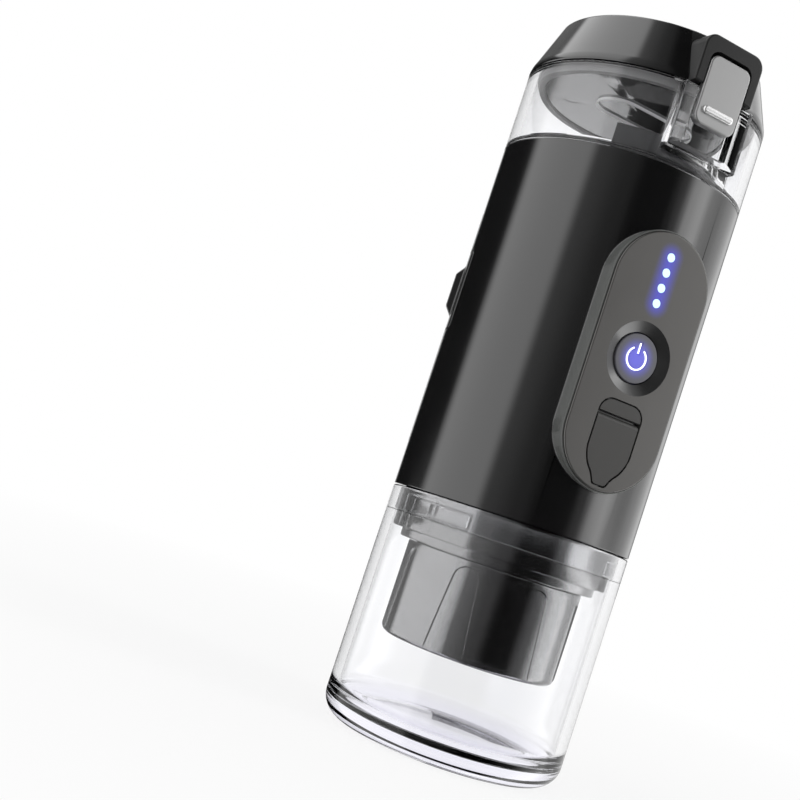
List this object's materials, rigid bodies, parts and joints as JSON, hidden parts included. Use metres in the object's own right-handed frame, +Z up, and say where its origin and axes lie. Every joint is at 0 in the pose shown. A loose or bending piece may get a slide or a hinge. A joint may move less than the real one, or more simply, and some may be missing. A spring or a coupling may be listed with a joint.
{
  "type": "portable electric espresso maker",
  "caption": "Round portable electric espresso maker with a clear cup, clear top tank, latched hinged lid and a flat pad with a lit power button.",
  "frame": {"origin": "centre of the cup's base face, on the table", "axes": "+Z up along the round body, control pad towards -Y, lid hinge towards +Y"},
  "size_m": [0.072, 0.0748, 0.215],
  "materials": {
    "clear_plastic": "clear moulded plastic",
    "gloss_black": "glossy black",
    "dark_satin": "dark satin",
    "pad_grey": "satin warm grey",
    "frame_grey": "matte dark grey",
    "lever_silver": "satin silver",
    "flap_rubber": "matte rubber",
    "seal_rubber": "silicone rubber",
    "hose": "silicone hose",
    "steel": "bright steel",
    "motor_can": "plated steel",
    "group_metal": "cast",
    "button_slate": "satin slate, lit from behind",
    "icon_light": "lit white",
    "led_light": "lit white blue",
    "inner_dark": "matte dark",
    "tank_base": "dark gloss",
    "board_green": "solder mask",
    "cell_blue": "wrapped cell",
    "pump_white": "moulded",
    "heater_brass": "heating ring"
  },
  "bodies": {
    "cup_body": {"cup": "clear_plastic"},
    "ring_body": {"lock_ring": "clear_plastic"},
    "machine_body": {"housing": "gloss_black", "bayonet_collar": "dark_satin", "shower_screen": "steel", "brew_gasket": "seal_rubber", "group_head": "group_metal", "control_pad": "pad_grey", "led_lenses": "led_light", "tact_switch": "inner_dark", "flap_anchor": "flap_rubber", "usb_shell": "steel", "usb_tongue": "inner_dark", "circuit_board": "board_green", "board_screws": "steel", "chassis_wall": "inner_dark", "battery_cells": "cell_blue", "battery_holder": "inner_dark", "pump_bracket": "inner_dark", "pump_motor": "motor_can", "pump_head": "pump_white", "inlet_tube": "hose", "outlet_tube": "hose", "heater_plate": "steel", "heater_ring": "heater_brass", "temperature_probe": "steel", "inlet_strainer": "inner_dark", "tank_floor": "tank_base", "tank_gasket": "seal_rubber", "tank": "clear_plastic"},
    "holder_body": {"brew_holder": "dark_satin", "filter_basket": "steel"},
    "cover_body": {"rear_cover": "gloss_black"},
    "button_body": {"power_button": "button_slate", "power_icon": "icon_light"},
    "flap_body": {"port_flap": "flap_rubber"},
    "lid_body": {"lid_shell": "gloss_black", "lid_liner": "tank_base", "lid_seal": "seal_rubber", "liner_screws": "steel", "latch_frame": "frame_grey", "latch_pin": "steel", "hinge_pin": "steel"},
    "latch_body": {"latch_lever": "lever_silver"},
    "rotor_body": {"pump_shaft": "steel"}
  },
  "joints": [
    {"name": "lift_off", "type": "slide", "parent": "cup_body", "child": "ring_body", "axis": [0, 0, 1], "range_m": [0, 0.06]},
    {"name": "cup_twist", "type": "hinge", "parent": "ring_body", "child": "machine_body", "pos_m": [0, 0, 0.07], "axis": [0, 0, 1], "range_deg": [0, 20]},
    {"name": "lid_hinge", "type": "hinge", "parent": "machine_body", "child": "lid_body", "pos_m": [0, 0.029, 0.2065], "axis": [-1, 0, 0], "range_deg": [0, 110]},
    {"name": "latch_pivot", "type": "hinge", "parent": "lid_body", "child": "latch_body", "pos_m": [0, -0.0352, 0.203], "axis": [-1, 0, 0], "range_deg": [0, 20], "stiffness_Nm_per_rad": 0.05},
    {"name": "button_press", "type": "slide", "parent": "machine_body", "child": "button_body", "axis": [0, 1, 0], "range_m": [0, 0.0008], "stiffness_N_per_m": 800},
    {"name": "flap_hinge", "type": "hinge", "parent": "machine_body", "child": "flap_body", "pos_m": [0, -0.038, 0.105], "axis": [-1, 0, 0], "range_deg": [0, 110]},
    {"name": "holder_twist", "type": "hinge", "parent": "machine_body", "child": "holder_body", "pos_m": [0, 0, 0.06], "axis": [0, 0, 1], "range_deg": [0, 38]},
    {"name": "cover_pull", "type": "slide", "parent": "machine_body", "child": "cover_body", "axis": [0, 1, 0], "range_m": [0, 0.05]},
    {"name": "pump_spin", "type": "hinge", "parent": "machine_body", "child": "rotor_body", "pos_m": [0, -0.012, 0.12], "axis": [0, 0, 1], "continuous": true}
  ]
}
